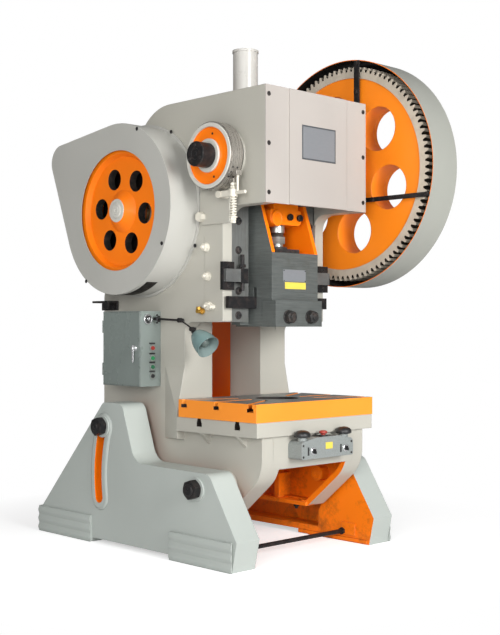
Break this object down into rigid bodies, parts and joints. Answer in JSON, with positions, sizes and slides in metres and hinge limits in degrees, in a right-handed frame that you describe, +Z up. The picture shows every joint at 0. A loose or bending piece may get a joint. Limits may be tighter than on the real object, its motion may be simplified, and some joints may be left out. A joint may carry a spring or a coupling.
{
  "type": "mechanical stamping press",
  "caption": "Open-back inclinable C-frame press with a geared crank, flywheel, slide, bolster, tilting legs and two-hand controls.",
  "frame": {"origin": "on the floor, midway between the four anchor bolt holes of the legs", "axes": "+X towards the bull gear, +Y towards the back of the press, +Z up"},
  "size_m": [1.4263, 2.061, 2.769],
  "materials": {
    "grey_paint": "satin",
    "orange_paint": "satin",
    "black_steel": "satin",
    "bare_steel": "satin",
    "bare_iron": "machined",
    "bronze": "satin",
    "spring_steel": "satin",
    "white_zinc": "satin",
    "belt_rubber": "matt",
    "motor_grey": "satin",
    "teal_paint": "satin",
    "box_grey": "hammered",
    "chrome": "polished",
    "black_plastic": "gloss",
    "red_plastic": "gloss",
    "green_plastic": "gloss"
  },
  "bodies": {
    "base": {"leg_left": "grey_paint", "leg_right": "grey_paint", "tie_rods": "black_steel", "pivot_bolts": "black_steel"},
    "frame": {"bolster": "orange_paint", "brake_anchor": "grey_paint", "brake_band": "bare_steel", "brake_rod": "white_zinc", "brake_spring": "spring_steel", "cabinet_box": "grey_paint", "control_box": "box_grey", "crank_bushes": "bronze", "flywheel_guard": "grey_paint", "front_cover": "grey_paint", "gear_guard": "grey_paint", "gib_bolts": "bare_steel", "gib_left": "bare_steel", "gib_right": "bare_steel", "gib_set_screws": "white_zinc", "guard_bars": "black_steel", "knockout_stops": "black_steel", "motor": "motor_grey", "motor_bracket": "grey_paint", "press_frame": "grey_paint", "shaft_bearings": "bronze", "tilt_lock_bolts": "black_steel", "top_tube": "grey_paint", "v_belts": "belt_rubber"},
    "crank": {"crankshaft": "black_steel", "brake_drum": "orange_paint", "clutch_hub": "bare_iron"},
    "rod": {"connecting_rod": "orange_paint", "rod_cap": "orange_paint", "rod_bolts": "black_steel", "ball_screw": "bare_steel"},
    "slide": {"slide": "bare_iron", "shank_clamp": "bare_iron", "clamp_nuts": "black_steel", "ball_retainer": "black_steel"},
    "knockout": {"knockout_bar": "black_steel"},
    "gear": {"bull_gear": "orange_paint"},
    "countershaft": {"drive_shaft": "bare_steel", "flywheel": "orange_paint", "pinion": "bare_steel"},
    "rotor": {"motor_pulley": "bare_iron"},
    "latch": {"clutch_latch": "black_steel"},
    "door": {"cabinet_door": "grey_paint"},
    "handle": {"door_handle": "chrome"},
    "stop": {"stop_button": "red_plastic"},
    "palm_left": {"palm_button_left": "black_plastic"},
    "palm_right": {"palm_button_right": "black_plastic"},
    "switch_left": {"selector_left": "black_plastic"},
    "switch_right": {"selector_right": "black_plastic"},
    "lamp_lower": {"lamp_arm_lower": "black_steel"},
    "lamp_upper": {"lamp_arm_upper": "black_steel"},
    "lamp": {"lamp_head": "teal_paint"},
    "button_1": {"cabinet_button_1": "red_plastic"},
    "button_2": {"cabinet_button_2": "green_plastic"},
    "button_3": {"cabinet_button_3": "green_plastic"},
    "button_4": {"cabinet_button_4": "black_plastic"}
  },
  "joints": [
    {"name": "frame_tilt", "type": "hinge", "parent": "base", "child": "frame", "pos_m": [0, -0.567, 0.388], "axis": [-1, 0, 0], "range_deg": [0, 6.5]},
    {"name": "gear_spin", "type": "hinge", "parent": "frame", "child": "gear", "pos_m": [0.615, -0.55, 2.1], "axis": [1, 0, 0], "continuous": true},
    {"name": "shaft_spin", "type": "hinge", "parent": "frame", "child": "countershaft", "pos_m": [0, 0.1153, 1.85785], "axis": [1, 0, 0], "continuous": true},
    {"name": "motor_spin", "type": "hinge", "parent": "frame", "child": "rotor", "pos_m": [-0.4, 0.647, 2.18], "axis": [1, 0, 0], "continuous": true},
    {"name": "crank_turn", "type": "hinge", "parent": "frame", "child": "crank", "pos_m": [0, -0.55, 2.1], "axis": [-1, 0, 0], "range_deg": [0, 180]},
    {"name": "rod_swing", "type": "hinge", "parent": "crank", "child": "rod", "pos_m": [0, -0.55, 2.17], "axis": [-1, 0, 0], "range_deg": [-180, 0]},
    {"name": "slide_stroke", "type": "slide", "parent": "frame", "child": "slide", "axis": [0, 0, -1], "range_m": [0, 0.14]},
    {"name": "knockout_lift", "type": "slide", "parent": "slide", "child": "knockout", "axis": [0, 0, 1], "range_m": [0, 0.029]},
    {"name": "latch_swing", "type": "hinge", "parent": "frame", "child": "latch", "pos_m": [0.455, -0.36, 2.21], "axis": [1, 0, 0], "range_deg": [0, 10], "stiffness_Nm_per_rad": 40, "springref_deg": -14.32},
    {"name": "door_swing", "type": "hinge", "parent": "frame", "child": "door", "pos_m": [-0.534, 0.314, 1.093], "axis": [0, 0, -1], "range_deg": [0, 110]},
    {"name": "handle_turn", "type": "hinge", "parent": "door", "child": "handle", "pos_m": [-0.535, 0.019, 1.097], "axis": [-1, 0, 0], "range_deg": [0, 90]},
    {"name": "stop_press", "type": "slide", "parent": "frame", "child": "stop", "axis": [0, 0, -1], "range_m": [0, 0.005], "stiffness_N_per_m": 900, "springref_m": -0.004},
    {"name": "palm_press_left", "type": "slide", "parent": "frame", "child": "palm_left", "axis": [0, 0, -1], "range_m": [0, 0.006], "stiffness_N_per_m": 900, "springref_m": -0.006},
    {"name": "palm_press_right", "type": "slide", "parent": "frame", "child": "palm_right", "axis": [0, 0, -1], "range_m": [0, 0.006], "stiffness_N_per_m": 900, "springref_m": -0.006},
    {"name": "switch_turn_left", "type": "hinge", "parent": "frame", "child": "switch_left", "pos_m": [-0.111, -0.92, 0.572], "axis": [0, -1, 0], "range_deg": [-45, 45]},
    {"name": "switch_turn_right", "type": "hinge", "parent": "frame", "child": "switch_right", "pos_m": [0.139, -0.92, 0.572], "axis": [0, -1, 0], "range_deg": [-45, 45]},
    {"name": "lamp_swing", "type": "hinge", "parent": "frame", "child": "lamp_lower", "pos_m": [-0.436, -0.051, 1.258], "axis": [0, 0, 1], "range_deg": [-50, 0]},
    {"name": "lamp_bend", "type": "hinge", "parent": "lamp_lower", "child": "lamp_upper", "pos_m": [-0.436, -0.238, 1.25], "axis": [1, 0, 0], "range_deg": [0, 30]},
    {"name": "lamp_nod", "type": "hinge", "parent": "lamp_upper", "child": "lamp", "pos_m": [-0.436, -0.338, 1.202], "axis": [1, 0, 0], "range_deg": [-25, 25]},
    {"name": "button_press_1", "type": "slide", "parent": "frame", "child": "button_1", "axis": [0, 1, 0], "range_m": [0, 0.004], "stiffness_N_per_m": 300, "springref_m": -0.004},
    {"name": "button_press_2", "type": "slide", "parent": "frame", "child": "button_2", "axis": [0, 1, 0], "range_m": [0, 0.004], "stiffness_N_per_m": 300, "springref_m": -0.004},
    {"name": "button_press_3", "type": "slide", "parent": "frame", "child": "button_3", "axis": [0, 1, 0], "range_m": [0, 0.004], "stiffness_N_per_m": 300, "springref_m": -0.004},
    {"name": "button_press_4", "type": "slide", "parent": "frame", "child": "button_4", "axis": [0, 1, 0], "range_m": [0, 0.004], "stiffness_N_per_m": 300, "springref_m": -0.004}
  ],
  "couplings": [
    {"joint": "shaft_spin", "follows": "gear_spin", "ratio": -5.9412},
    {"joint": "motor_spin", "follows": "gear_spin", "ratio": -32.905},
    {"joint": "rod_swing", "follows": "crank_turn", "ratio": -1},
    {"joint": "slide_stroke", "follows": "crank_turn", "m_per_rad": 0.044563}
  ]
}
